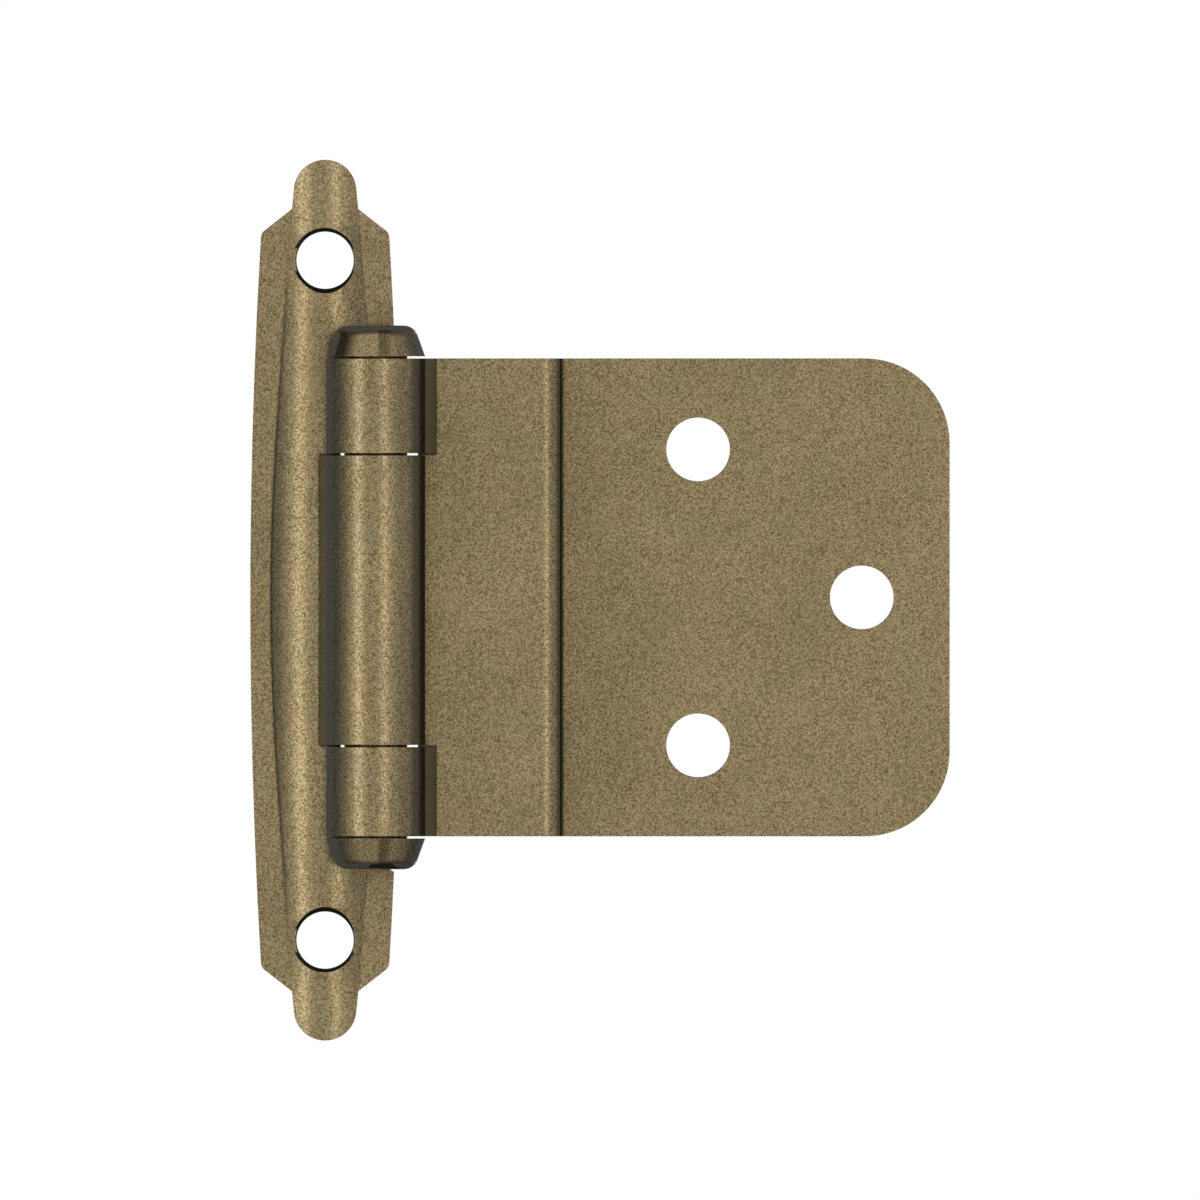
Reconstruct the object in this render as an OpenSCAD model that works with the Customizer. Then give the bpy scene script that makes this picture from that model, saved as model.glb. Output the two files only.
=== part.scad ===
// Self-closing surface hinge for a lipped cabinet door, shown with the door shut.
// The frame plate screws to the face of the cabinet frame and carries the centre knuckle.
// The door wing carries the two outer knuckles and steps back behind the door's lip.
// X runs from the plate towards the door, Y from the front to the back, Z up along the pin.
// The origin lies between the two frame screws, on the plane that meets the cabinet frame.

/* [Sheet] */
// Thickness of the steel sheet of both leaves
sheet_t = 1.35; // [1.1:0.05:1.5]

/* [Frame plate] */
// Height of the frame plate, from tip to tip
plate_h = 69.85; // [66:0.05:80]
// Width of the frame plate across its middle
plate_w = 11.88; // [11.4:0.02:14]
// Radius of the plate's long bowed sides
plate_side_r = 491; // [400:1:900]
// Height of each finial above the shoulders
finial_h = 3.9; // [3.2:0.1:5]
// Width of each finial where it leaves the shoulders
finial_root_w = 5.26; // [5.1:0.02:5.8]
// Radius of the finial's round tip
finial_tip_r = 2.48; // [2.2:0.02:2.5]
// Angle of the shoulders below the level, in degrees
shoulder_angle = 38; // [30:1:45]
// Radius of the shoulders' outer corners
shoulder_r = 0.8; // [0.4:0.1:1.2]
// Distance of each frame screw from the plate's nearer tip
frame_screw_inset = 7.965; // [7.6:0.005:8.4]
// Diameter of the holes for the frame screws
frame_hole_d = 4.54; // [4:0.02:4.7]
// Diameter that the frame holes open to at the crest of the rib
frame_hole_mouth_d = 5.16; // [4.8:0.02:5.2]
// Depth of the frame holes' open mouths below the crest
frame_hole_mouth_l = 0.9; // [0.4:0.05:0.9]

/* [Rib] */
// Radius of the rib's section at the middle of the plate
rib_r = 6.03; // [5.6:0.01:6.4]
// Height of the rib's crest above the flange at the middle
rib_crest = 1.84; // [1.7:0.01:1.95]
// Slope at which the rib narrows towards its ends, in degrees
rib_taper = 2.55; // [2.3:0.05:2.6]
// Length of the bowed middle of the rib
rib_bow_l = 26.1; // [16:0.1:32]

/* [Barrel] */
// Distance of the pin to the right of the plate's centreline
pin_offset = 4.02; // [3.8:0.02:4.6]
// Height of the pin in front of the cabinet frame
pin_height = 6; // [5.9:0.05:7]
// Mean length of the outer knuckles
outer_knuckle_l = 7.295; // [6:0.005:8.5]
// Running gap between neighbouring knuckles, and between a knuckle and its cap
knuckle_gap = 0.17; // [0.1:0.01:0.4]
// Lean of the sheet that rises to the centre knuckle, in degrees
frame_leg_lean = 9.25; // [7:0.25:11]
// Lean of the sheet that rises to the outer knuckles, in degrees
door_leg_lean = 9.8; // [7:0.2:12]
// Gap between the end of each roll and the sheet that it closes on
seam_gap = 0.3; // [0.15:0.05:0.6]

/* [Barrel notch] */
// Distance of the notch's edge to the right of the plate's centreline
notch_edge = 1.24; // [1:0.01:1.4]
// Distance from each frame screw down to the notch's corner
notch_end_drop = 8.1; // [7.6:0.05:8.6]
// Slope of the notch's ends, in degrees
notch_slope = 32.5; // [20:0.5:35]
// Radius of the notch's corners
notch_r = 2; // [1:0.1:2.5]

/* [Door wing] */
// Distance from each frame screw down to the end of the door wing
wing_end_drop = 8.01; // [7.5:0.01:10]
// Height of the wing's middle above the middle of the frame plate
wing_rise = 0.22; // [0:0.02:0.5]
// Distance from the pin to the wing's free edge
wing_reach = 45.51; // [42:0.01:60]
// Radius of the wing's free corners
wing_corner_r = 6.7; // [3:0.1:9]
// Distance from the pin to the face of the step
step_reach = 14.76; // [13:0.02:17]
// Depth of the step, from flat to flat
step_depth = 9.525; // [6.35:0.005:12.7]
// Inner radius of the step's bends
step_inner_r = 0.1; // [0.05:0.05:0.8]
// Inner radius of the bend at the foot of the outer knuckles
foot_bend_r = 0.25; // [0.1:0.05:0.5]
// Distance from the pin to the wing's edge beside the centre knuckle
wing_root_reach = 3.33; // [3.1:0.01:3.9]
// Diameter of the holes for the door screws
door_hole_d = 5.05; // [4.4:0.05:5.6]
// Distance of the upper and lower door screws from the wing's free edge
door_screw_inset = 19.95; // [16:0.05:22]
// Distance of the middle door screw from the wing's free edge
door_tip_screw_inset = 6.97; // [5:0.01:9]
// Distance of the upper and lower door screws from the wing's ends
door_screw_end_inset = 7.215; // [6:0.005:9]

/* [Pin and caps] */
// Diameter of the pin where the knuckles turn on it
pin_d = 5; // [4.8:0.02:5.2]
// Radial clearance of the centre knuckle on the pin
running_fit = 0.07; // [0.03:0.01:0.1]
// Interference of the pressed joints, on the radius
press_fit = 0.01; // [0:0.005:0.02]
// Diameter of the pin's ends inside the caps
spigot_d = 3.2; // [2.4:0.1:3.8]
// Length of the pin's ends inside the caps
spigot_l = 1.5; // [1:0.1:1.8]
// Chamfer at the tips of the pin
spigot_chamfer = 0.2; // [0.1:0.05:0.4]
// Height of the caps
cap_h = 2.45; // [2.2:0.05:3.2]
// Taper of the caps on each side, in degrees
cap_taper = 20; // [10:1:24]
// Radius of the caps' outer corners
cap_corner_r = 1.17; // [0.6:0.01:1.3]

/* [Closing spring] */
// Diameter of the pin's cam inside the centre knuckle
cam_d = 3.6; // [3.2:0.05:3.7]
// Depth of the flat on the cam
cam_flat_depth = 0.6; // [0.3:0.05:0.8]
// Length of the pin's bearing at each end of the centre knuckle
journal_l = 2.5; // [1.5:0.1:4]
// Thickness of the leaf spring
spring_t = 0.35; // [0.2:0.05:0.4]
// Width of the leaf spring
spring_w = 2.4; // [1.8:0.1:2.6]
// Clearance round the leaf spring
spring_clearance = 0.05; // [0.02:0.01:0.1]
// Gap between the ends of the leaf spring and the pin's shoulders
spring_end_gap = 0.3; // [0.1:0.1:0.8]

/* [Hidden] */
$fn = 96;
// Number of sides of the long arcs, where a circle is drawn as a polygon
LONG_ARC_FN = 256;
// Number of steps in each half of the rib's bowed middle
rib_bow_steps = 8;
// How far every cut runs past the surface that it opens
overrun = 1;
// How deep the straight runs of the sheet bite into its bends
bite = 0.001;
brass_tone = [0.46, 0.40, 0.27];
pin_tone = [0.40, 0.35, 0.25];
spring_tone = [0.55, 0.56, 0.58];

pin_r = pin_d / 2;
bore_r = pin_r + running_fit;
barrel_r = bore_r + sheet_t;
pin_axis = [pin_offset, -pin_height];

tip_z = plate_h / 2;
shoulder_z = tip_z - finial_h;
frame_screw_z = tip_z - frame_screw_inset;
rib_axis_y = rib_r - rib_crest - sheet_t;
rib_arc_r = rib_bow_l / 2 / sin(rib_taper);

wing_half_h = frame_screw_z - wing_end_drop;
wing_top = wing_rise + wing_half_h;
wing_bottom = wing_rise - wing_half_h;
outer_knuckle_from = wing_half_h - outer_knuckle_l;
centre_top = outer_knuckle_from - knuckle_gap;
top_cap_z = wing_top + knuckle_gap;
bottom_cap_z = wing_bottom - knuckle_gap;

wing_edge_x = pin_offset + wing_reach;
wing_root_x = pin_offset + wing_root_reach;
step_x = pin_offset + step_reach;
step_outer_r = step_inner_r + sheet_t;
second_flat_y = step_depth - sheet_t;

cam_r = cam_d / 2;
cam_flat_y = cam_r - cam_flat_depth;
cam_half_l = centre_top - journal_l;
spring_l = 2 * (cam_half_l - spring_end_gap);
// Where the spring's inner face lies at its middle and at its ends, behind the pin's axis
spring_mid_y = cam_flat_y + spring_clearance;
spring_seat_r = bore_r - spring_clearance;
spring_end_y = sqrt(pow(spring_seat_r, 2) - pow(spring_w / 2, 2)) - spring_t;
spring_bow = spring_end_y - spring_mid_y;
spring_bow_r = (pow(spring_l / 2, 2) + pow(spring_bow, 2)) / (2 * spring_bow);

// Direction at an angle, and the length of a vector reduced to one
function direction(angle) = [cos(angle), sin(angle)];
function unit(v) = v / norm(v);

// Radius of the rib's surface, or of one inset below it, at a height z
function rib_radius(z, inset) = abs(z) < rib_bow_half(inset)
    ? rib_r - rib_arc_r + sqrt(pow(rib_arc_r - inset, 2) - z * z)
    : rib_radius_at_bow_end(inset) - (abs(z) - rib_bow_half(inset)) * tan(rib_taper);
function rib_bow_half(inset) = (rib_arc_r - inset) * sin(rib_taper);
function rib_radius_at_bow_end(inset) = rib_r - rib_arc_r + (rib_arc_r - inset) * cos(rib_taper);

// Tangent point on a circle for a line from an outside point; side is 1 or -1
function tangent_point(point, centre, radius, side) =
    let (
        away = point - centre,
        distance = norm(away),
        bearing = atan2(away[1], away[0]) + side * acos(radius / distance)
    )
    centre + radius * direction(bearing);

// Centre of a corner's arc, and the reach of its tangents from the corner
function arc_centre(corner, before, after, radius) =
    let (
        a = unit(before - corner),
        b = unit(after - corner),
        half_angle = acos(a * b) / 2
    )
    corner + unit(a + b) * radius / sin(half_angle);
function arc_reach(corner, before, after, radius) =
    radius / tan(acos(unit(before - corner) * unit(after - corner)) / 2);

// Convex outline whose corners are arcs, each with a radius of its own; zero keeps a corner sharp
module rounded_outline(corners, radii) {
    count = len(corners);
    polygon([
        for (i = [0 : count - 1])
            let (
                corner = corners[i],
                before = corners[(i + count - 1) % count],
                after = corners[(i + 1) % count],
                reach = radii[i] > 0 ? arc_reach(corner, before, after, radii[i]) : 0
            )
            each radii[i] > 0
                ? [corner + unit(before - corner) * reach, corner + unit(after - corner) * reach]
                : [corner]
    ]);
    for (i = [0 : count - 1])
        if (radii[i] > 0)
            translate(arc_centre(
                corners[i],
                corners[(i + count - 1) % count],
                corners[(i + 1) % count],
                radii[i]
            ))
                circle(r = radii[i]);
}

// Outline in X and Z, extruded from the mounting plane towards the front
module forwards(depth) {
    rotate([90, 0, 0])
        linear_extrude(depth)
            children();
}

// Section in X and Y, extruded between two heights
module between(low, high) {
    translate([0, 0, low])
        linear_extrude(high - low)
            children();
}

// Wedge of a plane between two angles, up to half a turn apart
module wedge(from, to, reach) {
    polygon([
        [0, 0],
        reach * direction(from),
        2 * reach * direction((from + to) / 2),
        reach * direction(to)
    ]);
}

// Straight run of the sheet along its middle plane
// Each end's side is 1 where the next bend curves to the left, -1 to the right, 0 where there is none
module run(from, to, from_side, to_side) {
    along = unit(to - from);
    left = sheet_t / 2 * [-along[1], along[0]];
    // On the inside of a bend the run carries on into the bend's wall
    lap = sheet_t / 4 * along;
    polygon([
        from + left - max(from_side, 0) * lap,
        from - left - max(-from_side, 0) * lap,
        to - left + max(-to_side, 0) * lap,
        to + left + max(to_side, 0) * lap
    ]);
}

// Angle that a bend turns on inside the run that bites into it
function bend_lap(inner_r) = (acos(1 - bite / inner_r) + acos(1 - bite / (inner_r + sheet_t))) / 2;

// Bend of the sheet between two angles round its centre
module bend(centre, inner_r, from, to) {
    lap = bend_lap(inner_r);
    translate(centre)
        intersection() {
            difference() {
                circle(r = inner_r + sheet_t);
                circle(r = inner_r);
            }
            wedge(from - lap, to + lap, 2 * (inner_r + sheet_t));
        }
}

// Rolled eye of a knuckle: leg_angle points from the pin to the rising leg, and turn is 1 or -1
module eye(leg_angle, turn) {
    root_angle = leg_angle + turn * bend_lap(bore_r);
    seam_angle = leg_angle + turn * acos((bore_r - seam_gap) / barrel_r);
    from = min(root_angle, seam_angle);
    to = max(root_angle, seam_angle);
    translate(pin_axis)
        difference() {
            circle(r = barrel_r);
            circle(r = bore_r);
            wedge(from, to, 2 * barrel_r);
        }
}

// Lens between the plate's two bowed sides
module bowed_sides() {
    intersection_for (side = [-1, 1])
        translate([side * (plate_w / 2 - plate_side_r), 0])
            circle(r = plate_side_r, $fn = LONG_ARC_FN);
}

// Outline of the frame plate: bowed sides, sloping shoulders and a round finial at each end
module plate_outline() {
    neck = [finial_root_w / 2, shoulder_z];
    slope = direction(-shoulder_angle);
    inward = direction(-90 - shoulder_angle);
    side_centre = [plate_w / 2 - plate_side_r, 0];
    // The corner's arc touches the sloping shoulder and the bowed side
    start = neck + shoulder_r * inward - side_centre;
    along = -(start * slope) + sqrt(
        pow(start * slope, 2) - start * start + pow(plate_side_r - shoulder_r, 2)
    );
    corner_centre = neck + shoulder_r * inward + along * slope;
    shoulder_end = corner_centre - shoulder_r * inward;
    side_end = side_centre + plate_side_r * unit(corner_centre - side_centre);
    tip_centre = [0, tip_z - finial_tip_r];
    finial_side = tangent_point(neck, tip_centre, finial_tip_r, 1);
    intersection() {
        bowed_sides();
        translate([-plate_w / 2, -side_end[1]])
            square([plate_w, 2 * side_end[1]]);
    }
    for (end = [0, 1])
        mirror([0, end])
            union() {
                polygon([
                    [-side_end[0], side_end[1]],
                    side_end,
                    shoulder_end,
                    neck,
                    finial_side,
                    [-finial_side[0], finial_side[1]],
                    [-neck[0], neck[1]],
                    [-shoulder_end[0], shoulder_end[1]]
                ]);
                for (side = [-1, 1])
                    translate([side * corner_centre[0], corner_centre[1]])
                        circle(r = shoulder_r);
                translate(tip_centre)
                    circle(r = finial_tip_r);
            }
}

// The rib's round body, or the one that lies inset below its surface, turned about its own axis
module rib_body(inset) {
    bow_half = rib_bow_half(inset);
    end_z = tip_z + overrun;
    translate([0, rib_axis_y, 0])
        rotate_extrude()
            polygon([
                [0, -end_z],
                [rib_radius(end_z, inset), -end_z],
                for (step = [-rib_bow_steps : rib_bow_steps])
                    let (z = bow_half * step / rib_bow_steps)
                    [rib_radius(z, inset), z],
                [rib_radius(end_z, inset), end_z],
                [0, end_z]
            ]);
}

// Notch that lets the outer knuckles pass, open to the plate's right edge
module notch_outline() {
    corner_z = frame_screw_z - notch_end_drop;
    open_x = plate_w / 2 + overrun;
    open_z = corner_z + (open_x - notch_edge) * tan(notch_slope);
    rounded_outline(
        [[notch_edge, -corner_z], [open_x, -open_z], [open_x, open_z], [notch_edge, corner_z]],
        [notch_r, 0, 0, notch_r]
    );
}

// Hole for a frame screw, opening towards the crest of the rib
module frame_screw_hole() {
    hole_r = frame_hole_d / 2;
    mouth_r = frame_hole_mouth_d / 2;
    crest = rib_radius(frame_screw_z, 0) - rib_axis_y;
    flare = (mouth_r - hole_r) / frame_hole_mouth_l;
    rotate([90, 0, 0])
        translate([0, 0, crest - frame_hole_mouth_l]) {
            translate([0, 0, -crest])
                cylinder(r = hole_r, h = crest + overrun);
            cylinder(
                r1 = hole_r,
                r2 = mouth_r + flare * overrun,
                h = frame_hole_mouth_l + overrun
            );
        }
}

// Pressed frame plate: flanges, a hollow bowed rib and the centre knuckle rolled from its right side
module frame_plate() {
    leg_angle = 180 + frame_leg_lean;
    outward = direction(leg_angle);
    down = [-sin(frame_leg_lean), cos(frame_leg_lean)];
    // The leg runs from the roll to the mounting plane, where the rib's hollow trims it
    leg_l = pin_height / cos(frame_leg_lean);
    leg_core = pin_axis + (bore_r + sheet_t / 2 - bite) * outward;
    leg_back = leg_core + sheet_t / 2 * outward;
    // The bend where the leg leaves the rib lies on the hollow's ceiling at the knuckle's ends
    ceiling_y = rib_axis_y - rib_radius(centre_top, sheet_t);
    bend_y = ceiling_y - sheet_t;
    bend_along = (bend_y - leg_back[1]) / down[1];
    bend_centre = leg_back + bend_along * down;
    color(brass_tone)
        difference() {
            union() {
                difference() {
                    intersection() {
                        forwards(sheet_t + rib_crest + overrun)
                            plate_outline();
                        union() {
                            translate([-plate_w, -sheet_t, -plate_h])
                                cube([2 * plate_w, sheet_t, 2 * plate_h]);
                            rib_body(0);
                        }
                    }
                    translate([0, overrun, 0])
                        forwards(sheet_t + rib_crest + 2 * overrun)
                            notch_outline();
                    between(-centre_top, centre_top)
                        polygon([
                            leg_core,
                            leg_core + (leg_l + overrun) * down,
                            [plate_w, overrun],
                            [plate_w, leg_core[1]]
                        ]);
                }
                between(-centre_top, centre_top) {
                    eye(leg_angle, -1);
                    difference() {
                        run(leg_core, leg_core + leg_l * down, -1, 0);
                        translate(bend_centre)
                            difference() {
                                wedge(frame_leg_lean, 90, 2 * sheet_t);
                                circle(r = sheet_t + bite);
                            }
                    }
                }
            }
            rib_body(sheet_t);
            for (side = [-1, 1])
                translate([0, 0, side * frame_screw_z])
                    frame_screw_hole();
        }
}

// Strip of the door wing from a place on its first flat, over the step, to its free edge
module wing_section(from_x) {
    first_mid_y = -sheet_t / 2;
    step_mid_x = step_x - sheet_t / 2;
    second_mid_y = second_flat_y + sheet_t / 2;
    front_bend = [step_x - step_outer_r + bite, step_inner_r - bite];
    back_bend = [step_x + step_inner_r - bite, second_flat_y - step_inner_r + bite];
    run([from_x, first_mid_y], [front_bend[0], first_mid_y], 0, 1);
    bend(front_bend, step_inner_r, -90, 0);
    run([step_mid_x, front_bend[1]], [step_mid_x, back_bend[1]], 1, -1);
    bend(back_bend, step_inner_r, 90, 180);
    run([back_bend[0], second_mid_y], [wing_edge_x + overrun, second_mid_y], -1, 0);
}

// Pressed door wing: two rolled knuckles, a flat under the door's lip, the step and the screw flat
module door_wing() {
    leg_angle = -door_leg_lean;
    outward = direction(leg_angle);
    // The bend at the leg's foot touches the leg's outer face and the front of the flat
    bend_y = -sheet_t - foot_bend_r + bite;
    bend_out = barrel_r + foot_bend_r - 2 * bite;
    bend_x = pin_axis[0] + (bend_out - (bend_y - pin_axis[1]) * outward[1]) / outward[0];
    bend_centre = [bend_x, bend_y];
    // The foot runs this far into the flat that carries it
    flat_lap_x = bend_x + 2 * sheet_t;
    holes = [
        [wing_edge_x - door_screw_inset, wing_top - door_screw_end_inset],
        [wing_edge_x - door_screw_inset, wing_bottom + door_screw_end_inset],
        [wing_edge_x - door_tip_screw_inset, wing_rise]
    ];
    color(brass_tone) {
        difference() {
            intersection() {
                between(wing_bottom, wing_top)
                    wing_section(bend_x + sheet_t);
                translate([0, step_depth + overrun, 0])
                    forwards(step_depth + sheet_t + 2 * overrun)
                        rounded_outline(
                            [
                                [wing_root_x, wing_bottom],
                                [wing_edge_x, wing_bottom],
                                [wing_edge_x, wing_top],
                                [wing_root_x, wing_top]
                            ],
                            [0, wing_corner_r, wing_corner_r, 0]
                        );
            }
            for (hole = holes)
                translate([hole[0], step_depth + overrun, hole[1]])
                    rotate([90, 0, 0])
                        cylinder(d = door_hole_d, h = sheet_t + 2 * overrun);
        }
        between(-outer_knuckle_from, outer_knuckle_from)
            translate([wing_root_x, -sheet_t])
                square([flat_lap_x - wing_root_x, sheet_t]);
        for (span = [[outer_knuckle_from, wing_top], [wing_bottom, -outer_knuckle_from]])
            between(span[0], span[1]) {
                eye(leg_angle, 1);
                run(
                    pin_axis + (bore_r + sheet_t / 2 - bite) * outward,
                    bend_centre - (foot_bend_r + sheet_t / 2 - bite) * outward,
                    1,
                    -1
                );
                bend(bend_centre, foot_bend_r, 90, 180 - door_leg_lean);
                run([bend_x, -sheet_t / 2], [flat_lap_x, -sheet_t / 2], -1, 0);
            }
    }
}

// Turned length of the pin between two heights
module turned(radius, low, high) {
    translate([0, 0, low])
        cylinder(r = radius, h = high - low);
}

// Turned pin: pressed into the outer knuckles, running in the centre one, with a flatted cam between
module hinge_pin() {
    spigot_r = spigot_d / 2;
    grip_r = bore_r + press_fit;
    color(pin_tone)
        translate([pin_axis[0], pin_axis[1], 0]) {
            turned(pin_r, cam_half_l, top_cap_z);
            turned(pin_r, bottom_cap_z, -cam_half_l);
            turned(grip_r, outer_knuckle_from, wing_top);
            turned(grip_r, wing_bottom, -outer_knuckle_from);
            turned(spigot_r, top_cap_z, top_cap_z + spigot_l - spigot_chamfer);
            turned(spigot_r, bottom_cap_z - spigot_l + spigot_chamfer, bottom_cap_z);
            translate([0, 0, top_cap_z + spigot_l - spigot_chamfer])
                cylinder(r1 = spigot_r, r2 = spigot_r - spigot_chamfer, h = spigot_chamfer);
            translate([0, 0, bottom_cap_z - spigot_l])
                cylinder(r1 = spigot_r - spigot_chamfer, r2 = spigot_r, h = spigot_chamfer);
            difference() {
                turned(cam_r, -cam_half_l, cam_half_l);
                translate([-cam_r, cam_flat_y, -cam_half_l])
                    cube([cam_d, cam_r, 2 * cam_half_l]);
            }
        }
}

// Tapered cap, pressed on the end of the pin
module cap() {
    top_r = barrel_r - cap_h * tan(cap_taper);
    difference() {
        rotate_extrude()
            rounded_outline(
                [[0, 0], [barrel_r, 0], [top_r, cap_h], [0, cap_h]],
                [0, 0, cap_corner_r, 0]
            );
        translate([0, 0, -overrun])
            cylinder(r = spigot_d / 2 - press_fit, h = spigot_l + overrun);
    }
}

module top_cap() {
    color(brass_tone)
        translate([pin_axis[0], pin_axis[1], top_cap_z])
            cap();
}

module bottom_cap() {
    color(brass_tone)
        translate([pin_axis[0], pin_axis[1], bottom_cap_z])
            mirror([0, 0, 1])
                cap();
}

// Bowed leaf spring: its ends lie on the centre knuckle's wall, its middle on the cam's flat
module snap_spring() {
    color(spring_tone)
        translate([pin_axis[0], pin_axis[1] + spring_mid_y + spring_bow_r, 0])
            rotate([90, 0, 90])
                linear_extrude(spring_w, center = true)
                    intersection() {
                        difference() {
                            circle(r = spring_bow_r, $fn = LONG_ARC_FN);
                            circle(r = spring_bow_r - spring_t, $fn = LONG_ARC_FN);
                        }
                        translate([-spring_bow_r, -spring_l / 2])
                            square([spring_bow_r, spring_l]);
                    }
}

frame_plate();
door_wing();
hinge_pin();
top_cap();
bottom_cap();
snap_spring();
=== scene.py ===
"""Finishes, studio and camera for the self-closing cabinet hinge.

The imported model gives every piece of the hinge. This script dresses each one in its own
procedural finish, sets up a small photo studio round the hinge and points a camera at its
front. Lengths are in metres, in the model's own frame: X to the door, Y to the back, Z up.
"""

import logging
import math
from dataclasses import dataclass, field
from enum import Enum
from typing import Optional, Union

import bpy
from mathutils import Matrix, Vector


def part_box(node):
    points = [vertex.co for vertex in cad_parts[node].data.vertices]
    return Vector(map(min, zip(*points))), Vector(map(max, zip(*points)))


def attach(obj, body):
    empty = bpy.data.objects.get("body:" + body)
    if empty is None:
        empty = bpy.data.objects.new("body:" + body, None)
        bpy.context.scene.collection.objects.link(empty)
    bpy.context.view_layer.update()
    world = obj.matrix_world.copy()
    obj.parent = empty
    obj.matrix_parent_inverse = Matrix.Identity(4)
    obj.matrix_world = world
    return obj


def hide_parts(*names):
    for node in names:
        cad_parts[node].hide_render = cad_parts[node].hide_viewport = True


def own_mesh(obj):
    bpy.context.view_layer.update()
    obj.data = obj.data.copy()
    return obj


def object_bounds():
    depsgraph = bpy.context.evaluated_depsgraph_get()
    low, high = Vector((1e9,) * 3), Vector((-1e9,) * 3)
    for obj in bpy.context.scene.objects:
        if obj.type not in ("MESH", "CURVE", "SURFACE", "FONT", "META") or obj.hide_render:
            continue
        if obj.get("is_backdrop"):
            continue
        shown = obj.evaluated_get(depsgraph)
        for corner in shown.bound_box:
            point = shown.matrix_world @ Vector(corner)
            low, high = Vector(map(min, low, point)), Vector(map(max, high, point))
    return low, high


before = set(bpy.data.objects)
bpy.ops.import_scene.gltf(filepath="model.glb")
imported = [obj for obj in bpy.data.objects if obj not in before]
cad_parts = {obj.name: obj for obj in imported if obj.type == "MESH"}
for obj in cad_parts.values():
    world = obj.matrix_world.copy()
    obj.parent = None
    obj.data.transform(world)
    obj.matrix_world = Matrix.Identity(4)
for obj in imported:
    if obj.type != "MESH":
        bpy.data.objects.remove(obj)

LOG = logging.getLogger("hinge")
MM = 0.001

NOISE_MEAN = 0.5
BEVEL_SAMPLES = 6
SHELTER_SAMPLES = 8

# Where the studio's side cards, ceiling and ground stand, and how far back they reach
LEFT_SIDE = -0.3
RIGHT_SIDE = 0.35
CEILING = 0.3
GROUND = -0.3
BACK = 0.9

Colour = tuple[float, float, float]
Point = tuple[float, float, float]
Span = tuple[float, float]
Band = tuple[float, float, float, float]
Value = Union["Wire", float, tuple[float, ...]]


def linear(red: int, green: int, blue: int) -> Colour:
    """Turn a display colour into the linear colour that shaders work in.

    Args:
        red: Red from 0 to 255.
        green: Green from 0 to 255.
        blue: Blue from 0 to 255.

    Returns:
        The same colour in linear light.
    """

    def decode(level: int) -> float:
        """Undo the display curve of one channel."""
        share = level / 255
        return share / 12.92 if share <= 0.04045 else ((share + 0.055) / 1.055) ** 2.4

    return decode(red), decode(green), decode(blue)


class Wire:
    """An output of a shader node, with the operators that its maths is written in."""

    def __init__(self, bench: "Bench", socket: bpy.types.NodeSocket) -> None:
        """Keep the socket and the bench whose nodes it belongs to."""
        self.bench = bench
        self.socket = socket

    def maths(self, operation: str, *values: Value) -> "Wire":
        """Add a Math node.

        Args:
            operation: The node's operation.
            values: What it works on, in order.

        Returns:
            The node's result.
        """
        return self.bench.node(
            "ShaderNodeMath", {"operation": operation}, dict(enumerate(values))
        )

    def __add__(self, other: Value) -> "Wire":
        """Add a number or another wire."""
        return self.maths("ADD", self, other)

    def __radd__(self, other: Value) -> "Wire":
        """Add this wire to a number."""
        return self.maths("ADD", other, self)

    def __sub__(self, other: Value) -> "Wire":
        """Take a number or another wire away."""
        return self.maths("SUBTRACT", self, other)

    def __rsub__(self, other: Value) -> "Wire":
        """Take this wire away from a number."""
        return self.maths("SUBTRACT", other, self)

    def __neg__(self) -> "Wire":
        """Turn the sign round."""
        return 0.0 - self

    def __mul__(self, other: Value) -> "Wire":
        """Multiply by a number or another wire."""
        return self.maths("MULTIPLY", self, other)

    def __rmul__(self, other: Value) -> "Wire":
        """Multiply a number by this wire."""
        return self.maths("MULTIPLY", other, self)

    def __pow__(self, power: Value) -> "Wire":
        """Raise to a power."""
        return self.maths("POWER", self, power)

    def __abs__(self) -> "Wire":
        """Drop the sign."""
        return self.maths("ABSOLUTE", self)

    def either(self, other: Value) -> "Wire":
        """Give the greater of this wire and another value."""
        return self.maths("MAXIMUM", self, other)

    def distance(self, other: "Wire") -> "Wire":
        """Give the length of the slope whose two legs are this wire and another."""
        return (self * self + other * other) ** 0.5

    def ramp(self, span: Span) -> "Wire":
        """Map a span smoothly onto 0 to 1.

        Args:
            span: The values that give 0 and 1, either of which may be the greater.

        Returns:
            The mapped and clamped value.
        """
        start, full = span
        return self.bench.node(
            "ShaderNodeMapRange",
            {"interpolation_type": "SMOOTHSTEP"},
            {"Value": self, "From Min": start, "From Max": full},
        )

    def band(self, edges: Band) -> "Wire":
        """Give 1 inside a band and 0 outside it, with soft edges.

        Args:
            edges: The values at which the band starts, is full, fades and is gone.

        Returns:
            The share of the band, from 0 to 1.
        """
        start, full, fade, gone = edges
        return self.ramp((start, full)) * self.ramp((gone, fade))

    def parts(self) -> tuple["Wire", "Wire", "Wire"]:
        """Split a vector into its X, Y and Z."""
        split = self.bench.node("ShaderNodeSeparateXYZ", {}, {"Vector": self}).socket.node
        x, y, z = (Wire(self.bench, output) for output in split.outputs)
        return x, y, z

    def tint(self, amount: Value) -> "Wire":
        """Scale a colour by a number."""
        return self.bench.node(
            "ShaderNodeVectorMath", {"operation": "SCALE"}, {0: self, "Scale": amount}
        )


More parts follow.
